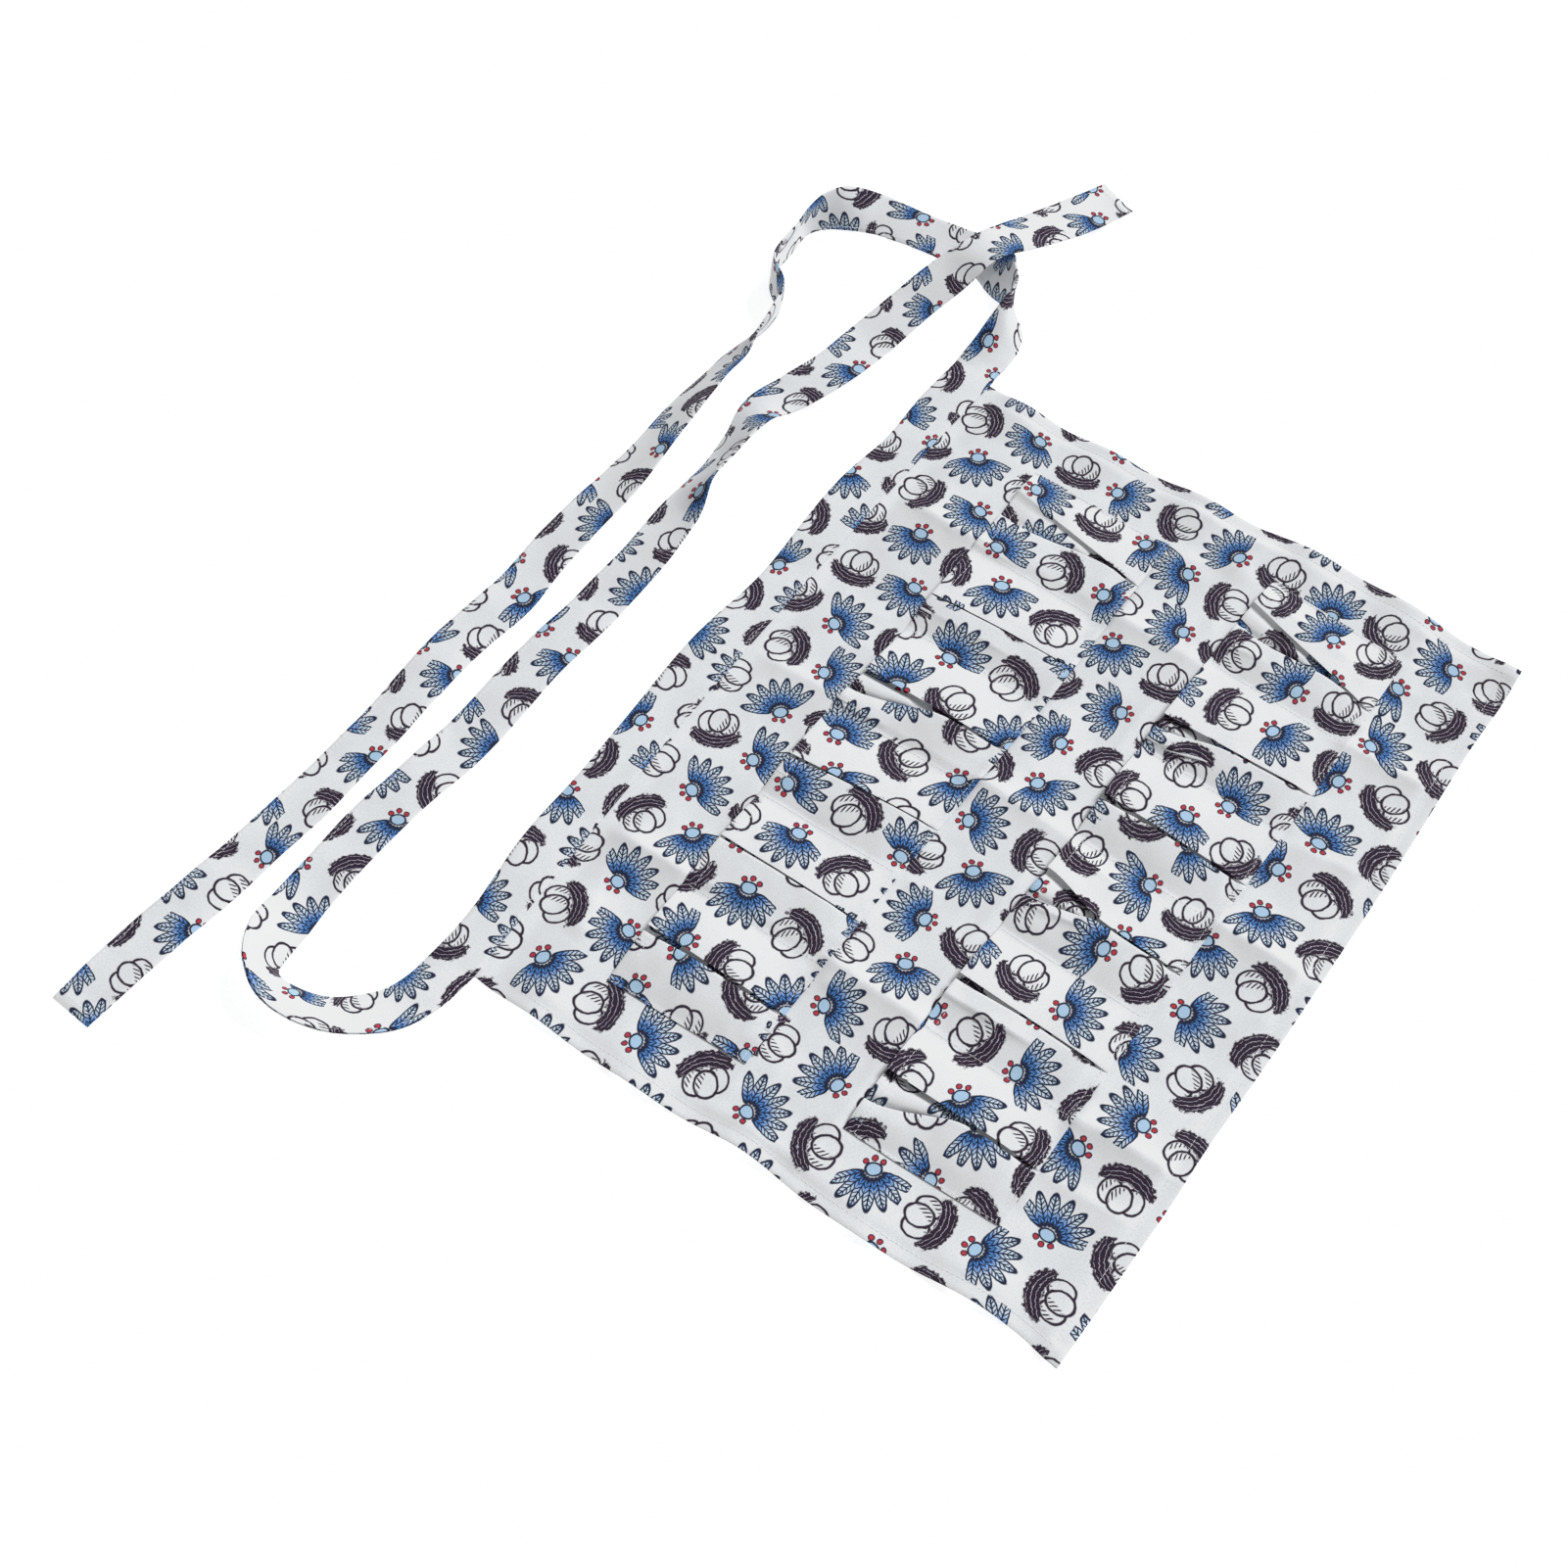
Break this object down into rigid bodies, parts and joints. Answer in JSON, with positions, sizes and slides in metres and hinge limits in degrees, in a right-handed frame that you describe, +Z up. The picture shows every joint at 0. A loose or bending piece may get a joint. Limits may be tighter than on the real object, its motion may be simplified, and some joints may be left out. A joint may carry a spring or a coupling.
{
  "type": "egg collecting apron",
  "caption": "Half apron of light cloth lying face up, with rows of open pleated egg pockets, a folded waistband and long loose ties.",
  "frame": {"origin": "on the resting surface, under the centre of the apron's body with its waistband", "axes": "+Z up, +Y from the hem to the waist, +X along the waist to the right as seen from above with the waist at the top"},
  "size_m": [0.9064, 0.5885, 0.0306],
  "materials": {
    "cloth": "matte plain-woven cloth, cool white, with a small all-over print in blue and dark ink"
  },
  "bodies": {
    "root": {"body_panel": "cloth", "waistband": "cloth", "tie_left_1": "cloth", "tie_left_2": "cloth", "tie_left_3": "cloth", "tie_left_4": "cloth", "tie_left_5": "cloth", "tie_right_1": "cloth", "tie_right_2": "cloth", "tie_right_3": "cloth", "tie_right_4": "cloth", "tie_right_5": "cloth", "upper_pocket_1": "cloth", "upper_pocket_2": "cloth", "upper_pocket_3": "cloth", "upper_pocket_4": "cloth", "upper_pocket_5": "cloth", "upper_pocket_6": "cloth", "lower_pocket_1": "cloth", "lower_pocket_2": "cloth", "lower_pocket_3": "cloth", "lower_pocket_4": "cloth", "lower_pocket_5": "cloth", "lower_pocket_6": "cloth"}
  },
  "joints": []
}
